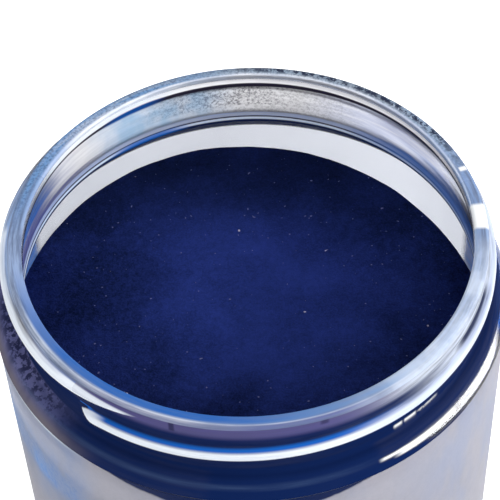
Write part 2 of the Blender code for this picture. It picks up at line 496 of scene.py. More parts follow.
STAINS: tuple[Coat, ...] = (
    Coat(Zone.BORE, STAIN_GREY, 0.9, -1.0, 10.8, floor=0.7),
    Coat(Zone.BORE, STAIN_MIST, 0.9, -1.0, 1.6, 145, 32),
    Coat(Zone.BORE, STAIN_SKY, 0.95, 2.0, 8.5, 114, 13, Grain.CLOUDS),
    Coat(Zone.BORE, STAIN_LILAC, 0.9, 1.8, 8.5, 42, 22),
    Coat(Zone.BORE, STAIN_INDIGO, 0.9, 2.2, 11.2, 172, 24),
    Coat(Zone.BORE, STAIN_DEEP, 0.8, 6.0, 11.2, 14, 22),
    Coat(Zone.RIM, STAIN_HAZE, 0.7, -1.0, 1.2),
    Coat(Zone.NECK, STAIN_BLUE, 0.9, -1.0, 10.0, -90, 80),
    Coat(Zone.SHOULDER, STAIN_BLUE, 0.9, 8.0, 15.0, -100, 80),
)

COATS: tuple[Coat, ...] = (
    Coat(Zone.BORE, FILM_GREY, 0.26, 2.9, 10.8, 100, 66, floor=0.6),
    Coat(Zone.BORE, FILM_GREY, 0.36, 2.9, 10.8, 84, 24, fade=16, floor=0.7),
    Coat(Zone.BORE, FILM_LAVENDER, 0.38, 2.9, 6.0, 40, 9, fade=6, floor=0.6),
    Coat(Zone.BORE, NAVY, 0.55, 1.2, 10.8, -90, 80),
    Coat(Zone.BORE, WARM_DARK, 0.6, 2.9, 7.0, 97, 12, Grain.SPECKLE),
    Coat(Zone.BORE, WARM_DARK, 0.4, 3.0, 8.5, 82, 18, Grain.SPECKLE),
    Coat(Zone.BORE, FILM_BLUE, 0.32, 2.9, 9.0, 117, 12, Grain.CLOUDS),
    Coat(Zone.BORE, FILM_VIOLET, 0.8, 7.6, 10.8, 152, 14, floor=0.6),
    Coat(Zone.BORE, FILM_VIOLET, 0.92, 5.0, 10.8, 174, 16, floor=0.75),
    Coat(Zone.BORE, FILM_TEAL, 0.95, 2.9, 6.2, 176, 20, floor=0.75),
    Coat(Zone.BORE, FILM_TEAL, 0.92, 8.4, 11.2, 34, 20, floor=0.75),
    Coat(Zone.BORE, FILM_TEAL, 0.9, 6.4, 11.2, 10, 18, floor=0.6),
    # Painted shade and see-through: a dark band all round the bore, level with the thread behind the wall.
    Coat(Zone.BORE, WARM_DARK, 1.0, 1.5, 3.2, grain=Grain.EVEN, edge=0.1),
    Coat(Zone.BORE, NAVY, 0.9, 1.4, 3.6, 22, 24, Grain.EVEN, edge=0.2),
    Coat(Zone.BORE, PIGMENT_BLUE, 0.95, 1.4, 3.4, 121, 6, Grain.EVEN, edge=0.2, fade=5),
    Coat(Zone.BORE, FOOT_HAZE, 0.85, 8.5, 9.3, edge=0.1, floor=0.8),
    Coat(Zone.BORE, NAVY, 0.92, 9.3, 9.6, grain=Grain.EVEN, edge=0.1),
    # Painted highlight: a pale blue band between two navy dust lines at the foot of the bore.
    Coat(Zone.BORE, FOOT_LIGHT, 0.92, 9.6, 10.1, grain=Grain.EVEN, edge=0.1),
    Coat(Zone.BORE, NAVY_DUST_AND_SEE_THROUGH, 1.0, 10.1, 10.8, grain=Grain.EVEN, edge=0.1),
    Coat(Zone.BORE, FOOT_BLUE, 0.9, 7.6, 10.0, 30, 20, edge=0.6, floor=0.6),
    Coat(Zone.BORE, BRIGHT_BLUE, 0.9, 9.5, 10.4, 117, 6, Grain.EVEN, fade=8),
    Coat(Zone.UNDERSIDE, NAVY_DUST_AND_SEE_THROUGH, 0.95, 10.8, 14.2, grain=Grain.EVEN, edge=0.2),
    Coat(Zone.UNDERSIDE, FILM_TEAL, 0.95, 10.9, 24.0, 172, 17, fade=2, floor=0.85),
    Coat(Zone.UNDERSIDE, BRIGHT_BLUE, 0.95, 10.9, 24.0, 2, 19, fade=2, floor=0.85),
    Coat(Zone.RIM, HAZE_BLUE, 0.8, -1.0, 1.2, -90, 135, floor=0.65),
    # Pale film on the sides of the rim: partly dust, partly painted reflection.
    Coat(Zone.RIM, PALE_DUST_AND_SHEEN, 0.75, -1.0, 1.2, -38, 26, Grain.CLOUDS, floor=0.55),
    Coat(Zone.RIM, PALE_DUST_AND_SHEEN, 0.25, -1.0, 1.2, -160, 24, floor=0.1),
    Coat(Zone.LIP, PALE_GREY, 0.25, -1.0, 0.6, 88, 60, floor=0.3),
    Coat(Zone.LIP, SLATE_BLUE, 0.92, 0.5, 3.0, 76, 52, floor=0.7),
    Coat(Zone.LIP, LIP_STREAK, 0.85, 0.4, 3.0, 134, 34, floor=0.45),
    Coat(Zone.LIP, NAVY, 0.55, 0.4, 2.2, 95, 75, Grain.SPECKLE),
    Coat(Zone.LIP, DEEP_NAVY, 0.92, 0.8, 1.9, 56, 32, Grain.MOTTLE, edge=0.4),
    Coat(Zone.LIP, NAVY, 0.75, 1.9, 3.0, 85, 75, Grain.EVEN, edge=0.1),
    Coat(Zone.RIM, LAVENDER, 0.8, -1.0, 1.2, -98, 34, floor=0.6),
    Coat(Zone.LIP, LIP_STREAK, 0.65, -1.0, 1.5, -95, 40, floor=0.6),
    # Painted see-through: blue along the inner edge of the front rim stands for the bore's blue dust seen
    # through the clear rim.
    Coat(Zone.LIP, LIP_BLUE, 0.94, -1.0, 1.3, -124, 34, fade=20, floor=0.75),
    Coat(Zone.LIP, PALE_GREY, 0.6, 1.4, 2.1, -130, 30, floor=0.35),
    Coat(Zone.LIP, PALE_DUST_AND_SHEEN, 0.45, 1.5, 1.7, -95, 60, edge=0.1),
    # Pale film on the sides of the neck: partly dust, partly painted reflection of the window on the
    # right.
    Coat(Zone.NECK, PALE_DUST_AND_SHEEN, 0.88, -1.0, 4.2, -26, 42, floor=0.65),
    Coat(Zone.NECK, NAVY, 0.95, 2.9, 3.9, -26, 9, Grain.EVEN, fade=3),
    Coat(Zone.NECK, PALE_DUST_AND_SHEEN, 0.75, -1.0, 2.2, -160, 26, floor=0.4),
    Coat(Zone.NECK, HAZE_BLUE, 0.85, -1.0, 6.0, 176, 18, floor=0.7),
    Coat(Zone.NECK, LAVENDER, 0.98, -1.0, 3.2, -104, 44, floor=0.9),
    # Painted see-through: navy below the thread stands for the dark powder seen through the clear neck,
    # partly a dust film.
    Coat(Zone.NECK, NAVY_DUST_AND_SEE_THROUGH, 0.98, 2.4, 11.0, -108, 62, edge=0.7, floor=0.95),
    Coat(Zone.NECK, NAVY_DUST_AND_SEE_THROUGH, 0.97, 5.6, 11.0, -25, 45, floor=0.92),
    Coat(Zone.NECK, DEEP_NAVY, 0.65, 0.0, 2.2, -109, 0.5, Grain.EVEN, fade=0.4),
    Coat(Zone.NECK, DEEP_NAVY, 0.55, 0.2, 1.4, -75, 0.7, Grain.EVEN, fade=0.6),
    Coat(Zone.LEDGE, PIGMENT_BLUE, 0.95, 0.74, 0.97, -101, 40, Grain.EVEN, edge=0.1, fade=12),
    # Painted highlight: a white ribbon along the thread's upper flank, paler blue on the right and weak at
    # the back, stands for its reflection.
    Coat(Zone.RIDGE, PAINTED_THREAD_HIGHLIGHT, 0.96, -0.4, 0.74, -95, 95, edge=0.1, floor=0.9),
    Coat(Zone.RIDGE, PAINTED_THREAD_HIGHLIGHT, 0.92, -1.0, 1.0, -160, 26, fade=2, floor=0.75),
    Coat(Zone.RIDGE, PAINTED_THREAD_HIGHLIGHT, 0.96, -1.2, 1.1, -132, 4, Grain.EVEN, fade=3),
    Coat(Zone.RIDGE, PAINTED_THREAD_HIGHLIGHT_BLUE, 0.8, -0.7, 1.0, -22, 40, floor=0.5),
    Coat(Zone.RIDGE, PAINTED_THREAD_HIGHLIGHT, 0.25, -0.4, 0.8, 85, 85),
    # Painted glints: short white dashes at the foot of the neck on the front right.
    Coat(Zone.NECK, PAINTED_GLINT_WHITE, 0.95, 8.5, 9.3, -56.2, 1.1, Grain.EVEN, fade=0.4),
    Coat(Zone.NECK, PAINTED_GLINT_WHITE, 0.95, 8.5, 9.3, -52.6, 1.7, Grain.EVEN, fade=0.4),
    Coat(Zone.NECK, PAINTED_GLINT_WHITE, 0.75, 8.7, 9.2, -47, 3, Grain.MOTTLE, fade=1),
    # Painted highlight on the upper turn where it passes over the thread's start.
    Coat(Zone.RIDGE, PAINTED_THREAD_HIGHLIGHT, 0.94, 3.0, 7.0, -122, 18, fade=2, floor=0.85),
    # Painted see-through: navy on the shoulder stands for the dark powder seen through the clear shoulder,
    # partly a dust film.
    Coat(Zone.SHOULDER, NAVY_DUST_AND_SEE_THROUGH, 0.99, 8.0, 11.9, -142, 64, floor=0.97),
    Coat(Zone.SHOULDER, NAVY_DUST_AND_SEE_THROUGH, 0.99, 8.0, 12.1, -82, 19, Grain.EVEN, fade=1.5),
    Coat(Zone.SHOULDER, NAVY_DUST_AND_SEE_THROUGH, 0.99, 10.7, 12.1, -64, 8, Grain.EVEN, fade=2),
    Coat(Zone.SHOULDER, NAVY_DUST_AND_SEE_THROUGH, 0.99, 11.0, 12.1, -58, 7, Grain.EVEN, fade=2),
    Coat(Zone.SHOULDER, NAVY_DUST_AND_SEE_THROUGH, 0.99, 11.4, 12.1, -48, 8, Grain.EVEN, fade=2),
    # Painted highlight: the white tip where the window's reflection on the shoulder bevel ends.
    Coat(Zone.SHOULDER, PAINTED_GLINT_WHITE, 0.96, 10.4, 10.7, -60, 3.2, Grain.EVEN, edge=0.1, fade=1),
    Coat(Zone.SHOULDER, PAINTED_GLINT_WHITE, 0.96, 10.4, 11.0, -50.5, 8.5, Grain.EVEN, edge=0.1, fade=2),
    Coat(Zone.SHOULDER, NAVY_DUST_AND_SEE_THROUGH, 0.98, 8.0, 10.4, -22, 62, edge=0.1, floor=0.95),
    Coat(Zone.SHOULDER, NAVY_DUST_AND_SEE_THROUGH, 0.2, 8.0, 11.9, 98, 62),
    Coat(Zone.SHOULDER, PURPLE_GREY, 0.8, 8.0, 11.9, -164, 20, Grain.CLOUDS),
    Coat(Zone.SHOULDER, DEEP_NAVY, 0.82, 8.0, 10.3, -162, 20, Grain.MOTTLE, edge=0.6),
    Coat(Zone.SHOULDER, BROWN_GREY, 0.85, 10.7, 12.5, -154, 18, Grain.CLOUDS, edge=0.7, floor=0.7),
    # Painted highlight: a soft light streak along the upper shoulder bevel at the front.
    Coat(Zone.SHOULDER, PAINTED_BEVEL_HIGHLIGHT_BLUE, 0.18, 10.1, 10.5, -112, 42),
    # A patch of the rim wiped clean of dust, painted white as the highlight on its bare plastic.
    Coat(Zone.RIM, PAINTED_GLINT_WHITE, 0.95, -1.0, 1.2, 1, 4, Grain.EVEN, fade=0.6),
    Coat(Zone.NECK, PAINTED_GLINT_WHITE, 0.95, -1.0, 2.2, 1, 4, Grain.EVEN, fade=0.6),
    # Painted glint: a small white tick on the rim's land.
    Coat(Zone.LIP, PAINTED_GLINT_WHITE, 0.95, 0.7, 1.8, 17.5, 0.6, Grain.EVEN, edge=0.1, fade=0.4),
)


@dataclass(frozen=True)
class ClearPlastic:
    """Glossy clear moulding dusted with pigment, with painted highlights along its thread and elsewhere,
    and painted shade and see-through colour, in its coats.
    """

    tint: Colour = (0.97, 0.98, 1.0)
    roughness: float = 0.03
    refraction: float = 1.53
    frost: tuple[Coat, ...] = FROST
    stains: tuple[Coat, ...] = STAINS
    coats: tuple[Coat, ...] = COATS

    def material(self, jar: "JarBody") -> bpy.types.Material:
        """Write the material.

        Args:
            jar: the moulding whose heights and radii place the dust and the painted light.

        Returns:
            The clear plastic with its dust and its painted highlights, shade and see-through colour.
        """
        material = bpy.data.materials.new("clear_plastic")
        sheet = ShaderSheet(material)
        ground = DustAndPaintedLightGround(sheet, jar)
        clear: Shade | Colour = self.tint
        for stain in self.stains:
            clear = sheet.blend(ground.share(stain), clear, stain.colour)
        rough: Shade | float = self.roughness
        for patch in self.frost:
            rough = ground.share(patch).most(rough)
        plastic = sheet.principled({
            "Base Color": clear, "Roughness": rough, "IOR": self.refraction,
            "Transmission Weight": 1.0,
        })
        cover: Shade | float = 0.0
        tone: Shade | Colour = self.coats[0].colour
        for coat in self.coats:
            share = ground.share(coat)
            tone = sheet.blend(share, tone, coat.colour)
            cover = share + (1.0 - share) * cover
        # The coats' shader carries the dust and the painted highlights, glints, shade and see-through
        # colour.
        dust = sheet.principled({"Base Color": tone, "Roughness": 1.0, "Specular IOR Level": 0.0})
        sheet.surface(sheet.node("ShaderNodeMixShader", {}, {0: cover, 1: plastic, 2: dust}))
        return material


@dataclass(frozen=True)
class LabelFilm:
    """Pale blank sleeve that lets some light through, smudged by blue dust, with a painted highlight on
    its top edge at the front left and navy painted along its top at the front.

    A span says where a mark starts and where it is full: on X, on Y, or up from the label's top edge.
    """

    face: Colour = (0.46, 0.45, 0.52)
    back: Colour = (0.94, 0.96, 0.96)
    through: Colour = (0.88, 0.89, 0.92)
    smudge: Colour = (0.13, 0.28, 0.62)
    edge_light: Colour = (0.84, 0.94, 1.00)
    grime: Colour = (0.26, 0.27, 0.33)
    spill_and_see_through: Colour = (0.004, 0.014, 0.075)
    see_through: float = 0.74
    gloss: float = 0.10
    roughness: float = 0.5
    face_span: Span = (0.3, 0.7)
    side_y: Span = (0.006, -0.006)
    left_x: Span = (-0.0205, -0.028)
    left_rise: Span = (-0.030, -0.012)
    left_smudge: float = 0.28
    right_x: Span = (0.0215, 0.026)
    wiped_x: Span = (-0.0215, -0.027)
    wiped_y: Span = (0.0, -0.012)
    wiped_low: Span = (-0.0180, -0.0140)
    wiped_high: Span = (-0.0060, -0.0118)
    wiped_ragged: float = 0.005
    wiped_smudge: float = 0.32
    wiped_grain: float = 0.20
    smear: Pattern = Pattern(0.010, detail=5.0, roughness=0.6, low=0.44, high=0.66)
    smear_stretch: Place = (1.0, 1.0, 0.40)
    smear_all: float = 0.10
    smear_left: float = 0.30
    smear_right: float = 0.16
    dirt: Pattern = Pattern(0.006, detail=5.0, roughness=0.7, low=0.42, high=0.70)
    dirt_stretch: Place = (1.0, 1.0, 0.60)
    dirt_all: float = 0.24
    left_darkening: float = 0.26
    fine: Pattern = Pattern(0.0007, roughness=0.7, low=0.35, high=0.75)
    fine_all: float = 0.20
    fine_left: float = 0.14
    line_x: Span = (-0.023, -0.029)
    line_y: Span = (0.0, -0.006)
    line_rise: Span = (-0.0006, -0.0003)
    line_share: float = 0.85
    spill_y: Span = (0.0, -0.02)
    spill_middle: float = -0.003
    spill_half_width: float = 0.0172
    spill_reach: float = 0.0026
    spill_soft: float = 0.0003
    spill_ragged: float = 0.0012
    spill_edge: Pattern = Pattern(0.004, detail=4.0, roughness=0.65)
    dusted_y: Span = (0.014, -0.010)
    dusted_share: float = 0.60

    def material(self, label: "LabelSleeve") -> bpy.types.Material:
        """Write the material.

        Args:
            label: the sleeve whose radius parts its face from its back.

        Returns:
            The label's material.
        """
        material = bpy.data.materials.new("label_film")
        sheet = ShaderSheet(material)
        place = sheet.coordinates()
        x, y, z = sheet.axes(place)
        rise = z - label.top
        radius = (x * x + y * y) ** 0.5
        face = radius.between(label.inner_radius + self.face_span[0] * label.thickness,
                              label.inner_radius + self.face_span[1] * label.thickness)
        left = x.between(*self.left_x) * y.between(*self.side_y) * rise.between(*self.left_rise)
        right = x.between(*self.right_x) * y.between(*self.side_y)
        smear = self.smear.read(sheet, sheet.stretch(place, self.smear_stretch))
        dirt = self.dirt.read(sheet, sheet.stretch(place, self.dirt_stretch))
        fine = self.fine.read(sheet, place)
        wiped = x.between(*self.wiped_x) * y.between(*self.wiped_y) * rise.between(*self.wiped_low)
        wiped = wiped * (rise + (dirt - NOISE_MIDDLE) * self.wiped_ragged).between(*self.wiped_high)
        # The left side of the sleeve is made darker and bluer by the left weights.
        smudged = self.left_smudge * left + wiped * (self.wiped_smudge + self.wiped_grain * fine)
        smudged = smudged + smear * (self.smear_all + self.smear_left * left + self.smear_right * right)
        soiled = dirt * (self.dirt_all + self.left_darkening * left)
        soiled = soiled + fine * (self.fine_all + self.fine_left * left)
        tone = sheet.blend(soiled, self.face, self.grime)
        tone = sheet.blend(smudged, tone, self.smudge)
        # Painted highlight: a pale line along the label's top edge at the front left.
        line = rise.between(*self.line_rise) * x.between(*self.line_x) * y.between(*self.line_y)
        tone = sheet.blend(self.line_share * line, tone, self.edge_light)
        # Navy painted along the label's top at the front: partly spilled powder, partly the dark powder
        # seen through the clear wall above the label.
        aside = x - self.spill_middle
        reach = self.spill_reach - aside * aside * (self.spill_reach / self.spill_half_width ** 2)
        ragged = (self.spill_edge.raw(sheet, place) - NOISE_MIDDLE) * self.spill_ragged
        spill_and_see_through = (rise + reach + ragged).between(-self.spill_soft, self.spill_soft)
        spill_and_see_through = spill_and_see_through * y.between(*self.spill_y)
        tone = sheet.blend(spill_and_see_through, tone, self.spill_and_see_through)
        colour = sheet.blend(face, self.back, tone)
        film = sheet.principled({
            "Base Color": colour, "Roughness": self.roughness, "Specular IOR Level": self.gloss,
        })
        glow = sheet.node("ShaderNodeBsdfTranslucent", {}, {"Color": self.through})
        dusted = self.dusted_share * y.between(*self.dusted_y)
        passed = self.see_through * (1.0 - face * dusted.most(smudged).most(spill_and_see_through))
        sheet.surface(sheet.node("ShaderNodeMixShader", {}, {0: passed, 1: film, 2: glow}))
        return material


@dataclass(frozen=True)
class PowderFinish:
    """Dead-matt deep blue powder, painted bluer in a pool of light near the middle and darker towards the
    back as painted shade.
    """

    deep: Colour = (0.0024, 0.0048, 0.017)
    blue: Colour = (0.0200, 0.0370, 0.205)
    speck: Colour = (0.13, 0.14, 0.28)
    flake: Colour = (0.45, 0.42, 0.55)
    # Painted pool of light: the powder is bluer within this radius of this point near the middle.
    light_pool_place: Point = (0.002, 0.006)
    light_pool_radius: float = 0.031
    light_pool_share: float = 0.56
    drift: Pattern = Pattern(0.012, detail=4.0, low=0.34, high=0.66)
    drift_share: float = 0.28
    clump: Pattern = Pattern(0.0011, detail=4.0, roughness=0.65, low=0.30, high=0.72)
    clump_share: float = 0.20
    grain: Pattern = Pattern(0.00030, detail=2.0, roughness=0.7, low=0.35, high=0.72)
    sparkle_share: float = 0.26
    # Painted shade: the powder darkens towards the back.
    back_y: Span = (0.012, 0.032)
    back_shade: float = 0.5
    speck_spots: Pattern = Pattern(0.00042, detail=0.0, low=0.82, high=0.86)
    flake_spots: Pattern = Pattern(0.0011, detail=0.0, low=0.86, high=0.88)
    flake_shift: Place = (0.3, 0.1, 0.2)
    relief: float = 0.00010

    def material(self) -> bpy.types.Material:
        """Write the powder's material."""
        material = bpy.data.materials.new("blue_pigment")
        sheet = ShaderSheet(material)
        place = sheet.coordinates()
        x, y, _ = sheet.axes(place)
        # Painted pool of light near the middle.
        aside = x - self.light_pool_place[0]
        ahead = y - self.light_pool_place[1]
        away = (aside * aside + ahead * ahead) ** 0.5
        light_pool = away.between(self.light_pool_radius, 0.0)
        drift = self.drift.read(sheet, place)
        clump = self.clump.read(sheet, place)
        grains = self.grain.raw(sheet, place)
        sparkle = grains.between(self.grain.low, self.grain.high)
        share = light_pool * self.light_pool_share + drift * self.drift_share + clump * self.clump_share
        share = share + sparkle * self.sparkle_share
        # Painted shade towards the back.
        share = share * (1.0 - self.back_shade * y.between(*self.back_y))
        tone = sheet.blend(share, self.deep, self.blue)
        specks = self.speck_spots.read(sheet, place)
        flakes = self.flake_spots.read(sheet, sheet.stretch(place, shift=self.flake_shift))
        colour = sheet.blend(specks, tone, self.speck)
        colour = sheet.blend(flakes, colour, self.flake)
        relief = sheet.bump(grains + clump, self.relief)
        sheet.surface(sheet.principled({
            "Base Color": colour, "Roughness": 1.0, "Specular IOR Level": 0.0, "Normal": relief,
        }))
        return material


@dataclass
class JarBody:
    """The clear moulding: base, side, shoulder, threaded neck and rim."""

    height: float
    body_radius: float
    side_wall: float = 0.0009
    floor_wall: float = 0.0014
    push_up: float = 0.0010
    standing_ring: float = 0.0050
    heel_round: float = 0.0040
    heel_bead: float = 0.0030
    floor_round: float = 0.0030
    neck_radius: float = 0.03355
    neck_wall: float = 0.00105
    neck_below_thread: float = 0.0028
    neck_fillet: float = 0.0008
    bore_edge_round: float = 0.0006
    lip_step: float = 0.0010
    lip_depth: float = 0.0018
    rim_round: float = 0.0005
    shoulder_wall: float = 0.0013
    shoulder_round: float = 0.0020
    shoulder_flat: float = 0.75
    shoulder_bead: float = 0.0002
    under_shoulder_round: float = 0.0010
    label_recess: float = 0.0006
    thread_pitch: float = 0.00423
    thread_depth: float = 0.0012
    thread_root_height: float = 0.0023
    thread_crest_height: float = 0.0011
    thread_rim_gap: float = 0.0004
    thread_start: float = math.radians(-133.5)
    thread_sweep: float = math.radians(380.5)
    thread_lead_in: float = math.radians(5.0)
    thread_run_out: float = math.radians(32.5)
    turn_steps: int = 384
    arc_steps: int = 8
    neck_rows: int = 96
    smooth_angle: float = 50.0

    def __post_init__(self) -> None:
        """Work out the radii and heights that follow from the sizes."""
        self.panel_radius = self.body_radius - self.label_recess
        self.inner_radius = self.panel_radius - self.side_wall
        self.bore_radius = self.neck_radius - self.neck_wall
        self.lip_radius = self.bore_radius - self.lip_step
        self.floor = self.push_up + self.floor_wall
        full_sweep = self.thread_sweep - self.thread_run_out
        full_rise = self.thread_pitch * full_sweep / (2.0 * math.pi)
        self.thread_low = self.height - self.thread_rim_gap - 0.5 * self.thread_root_height - full_rise
        self.shoulder = self.thread_low - 0.5 * self.thread_root_height - self.neck_below_thread
        self.under_shoulder = self.shoulder - self.shoulder_wall
        self.panel_top = self.shoulder - self.shoulder_round - self.shoulder_bead
        self.panel_bottom = self.heel_round + self.heel_bead

    def half_section(self) -> list[Point]:
        """Outline from the middle of the floor, over the rim, to the middle of the underside."""
        steps = self.arc_steps
        top = self.height
        under_round = self.under_shoulder_round
        edge = self.bore_edge_round
        rim = self.rim_round
        neck_top = (self.neck_radius, top - rim)
        neck_foot = (self.neck_radius, self.shoulder + self.neck_fillet)
        heel = self.heel_round
        ring_inner = self.body_radius - heel - self.standing_ring
        return [
            (0.0, self.floor),
            *arc((self.inner_radius - self.floor_round, self.floor + self.floor_round),
                 self.floor_round, -90, 0, steps),
            *arc((self.inner_radius - under_round, self.under_shoulder - under_round),
                 under_round, 0, 90, steps),
            *arc((self.bore_radius + edge, self.under_shoulder + edge), edge, 270, 180, steps),
            (self.bore_radius, top - self.lip_depth - self.lip_step),
            (self.lip_radius, top - self.lip_depth),
            *arc((self.lip_radius + rim, top - rim), rim, 180, 90, steps),
            *arc((self.neck_radius - rim, top - rim), rim, 90, 0, steps),
            *straight(neck_top, neck_foot, self.neck_rows),
            *arc((self.neck_radius + self.neck_fillet, self.shoulder + self.neck_fillet),
                 self.neck_fillet, 180, 270, steps),
            *self.shoulder_edge(),
            (self.body_radius, self.panel_top),
            (self.panel_radius, self.panel_top),
            (self.panel_radius, self.panel_bottom),
            (self.body_radius, self.panel_bottom),
            *arc((self.body_radius - heel, heel), heel, 0, -90, steps),
            (ring_inner, 0.0),
            (ring_inner - self.push_up, self.push_up),
            (0.0, self.push_up),
        ]

    def shoulder_edge(self) -> list[Point]:
        """The shoulder's outer round, flattened towards a bevel."""
        centre = (self.body_radius - self.shoulder_round, self.shoulder - self.shoulder_round)
        round_points = arc(centre, self.shoulder_round, 90, 0, self.arc_steps)
        (first_radius, first_height), (last_radius, last_height) = round_points[0], round_points[-1]
        edge = []
        for number, (radius, height) in enumerate(round_points):
            share = number / self.arc_steps
            bevel_radius = first_radius + (last_radius - first_radius) * share
            bevel_height = first_height + (last_height - first_height) * share
            edge.append((radius + (bevel_radius - radius) * self.shoulder_flat,
                         height + (bevel_height - height) * self.shoulder_flat))
        return edge

    def thread_rise(self, angle: float, height: float) -> float:
        """How far the thread stands out of the neck at one place.

        Args:
            angle: direction round the axis in radians.
            height: height above the base.

        Returns:
            The rise in metres, 0 off the thread.
        """
        best = 0.0
        along = (angle - self.thread_start) % (2.0 * math.pi)
        while along <= self.thread_sweep:
            lead_in = along / self.thread_lead_in
            run_out = (self.thread_sweep - along) / self.thread_run_out
            share = math.sin(0.5 * math.pi * min(1.0, lead_in, run_out))
            middle = self.thread_low + self.thread_pitch * along / (2.0 * math.pi)
            half_root = 0.5 * self.thread_root_height * share
            half_crest = 0.5 * self.thread_crest_height * share
            if half_root > 0.0:
                flank = (half_root - abs(height - middle)) / (half_root - half_crest)
                best = max(best, self.thread_depth * share * smooth_step(flank))
            along += 2.0 * math.pi
        return best

    def raise_thread(self, place: Vector) -> Vector:
        """Move a point of the neck's outer wall out to the thread's surface."""
        radius = math.hypot(place.x, place.y)
        foot = self.shoulder + self.neck_fillet
        on_wall = abs(radius - self.neck_radius) <= SAME_PLACE
        if not on_wall or not foot < place.z < self.height - self.rim_round:
            return place
        grown = (radius + self.thread_rise(math.atan2(place.y, place.x), place.z)) / radius
        return Vector((place.x * grown, place.y * grown, place.z))

    def build(self) -> bpy.types.Object:
        """Model the moulding and dress it."""
        jar = Modeller.turn("clear_jar", self.half_section(), self.turn_steps)
        Modeller.move_points(jar, self.raise_thread)
        Modeller.smooth(jar, self.smooth_angle)
        Modeller.dress(jar, ClearPlastic().material(self))
        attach(jar, ROOT_BODY)
        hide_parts("jar_body")
        return jar


@dataclass
class LabelSleeve:
    """The blank sleeve round the label panel, its ends butted at the back."""

    outer_radius: float
    bottom: float
    top: float
    thickness: float = 0.00015
    turn_steps: int = 360
    rows: int = 6
    smooth_angle: float = 40.0

    def __post_init__(self) -> None:
        """Work out the radius of the back."""
        self.inner_radius = self.outer_radius - self.thickness

    def build(self) -> bpy.types.Object:
        """Model the sleeve and dress it."""
        low = (self.outer_radius, self.bottom)
        high = (self.outer_radius, self.top)
        ring = [
            (self.inner_radius, self.top), (self.inner_radius, self.bottom), low,
            *straight(low, high, self.rows), high, (self.inner_radius, self.top),
        ]
        label = Modeller.turn("label_sleeve", ring, self.turn_steps)
        Modeller.smooth(label, self.smooth_angle)
        Modeller.dress(label, LabelFilm().material(self))
        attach(label, ROOT_BODY)
        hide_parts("label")
        return label


@dataclass
class PigmentFill:
    """The dry powder in the jar."""

    radius: float
    floor: float
    floor_round: float
    level: float
    slope_x: float = -0.06
    slope_y: float = 0.02
    dish: float = 0.0006
    crown: float = 1.6
    ripple: float = 0.00025
    ripple_scale: float = 90.0
    ripple_fade: float = 1.0
    ripple_step: float = 2.0
    ripple_octaves: int = 4
    rings: int = 110
    turn_steps: int = 300
    arc_steps: int = 6
    smooth_angle: float = 60.0

    def surface_height(self, x: float, y: float) -> float:
        """Height of the powder's surface over a point of the base."""
        hollow = 1.0 - (x * x + y * y) / (self.radius * self.radius)
        fall = self.crown * x * x
        wave = noise.fractal(Vector((x, y, 0.0)) * self.ripple_scale, self.ripple_fade, self.ripple_step,
                             self.ripple_octaves)
        tilt = self.slope_x * x + self.slope_y * y
        return self.level + tilt - fall - self.dish * hollow + self.ripple * wave

    def settle(self, place: Vector) -> Vector:
        """Move a point of the flat top to the powder's surface."""
        if abs(place.z - self.level) > SAME_PLACE:
            return place
        return Vector((place.x, place.y, self.surface_height(place.x, place.y)))

    def build(self) -> bpy.types.Object:
        """Model the powder and dress it."""
        top = [(self.radius * ring / self.rings, self.level) for ring in range(self.rings + 1)]
        corner = arc((self.radius - self.floor_round, self.floor + self.floor_round),
                     self.floor_round, 0, -90, self.arc_steps)
        powder = Modeller.turn("pigment", top + corner + [(0.0, self.floor)], self.turn_steps)
        Modeller.move_points(powder, self.settle)
        Modeller.smooth(powder, self.smooth_angle)
        Modeller.dress(powder, PowderFinish().material())
        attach(powder, ROOT_BODY)
        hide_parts("pigment_powder")
        return powder


@dataclass(frozen=True)
class Panel:
    """A flat rectangle of the studio: a soft light, or a card that only reflections show.

    The strength is a light's power in watts or a card's glow; a card without it is dark.
    """

    name: str
    place: Place
    size: Point
    strength: float = 0.0
    along: Place = ACROSS
    aim: Place | None = None

    def stand(self, aim: Vector) -> Matrix:
        """Work out where the panel stands.

        Args:
            aim: the point that it faces if it has none of its own.

        Returns:
            The matrix that puts it there, its length on X and its face on Z.
        """
        middle = Vector(self.place)
        along = Vector(self.along)
        back = (middle - (Vector(self.aim) if self.aim else aim)).normalized()
        side = (along - back * along.dot(back)).normalized()
        turn = Matrix((side, back.cross(side), back)).transposed()
        return Matrix.Translation(middle) @ turn.to_4x4()


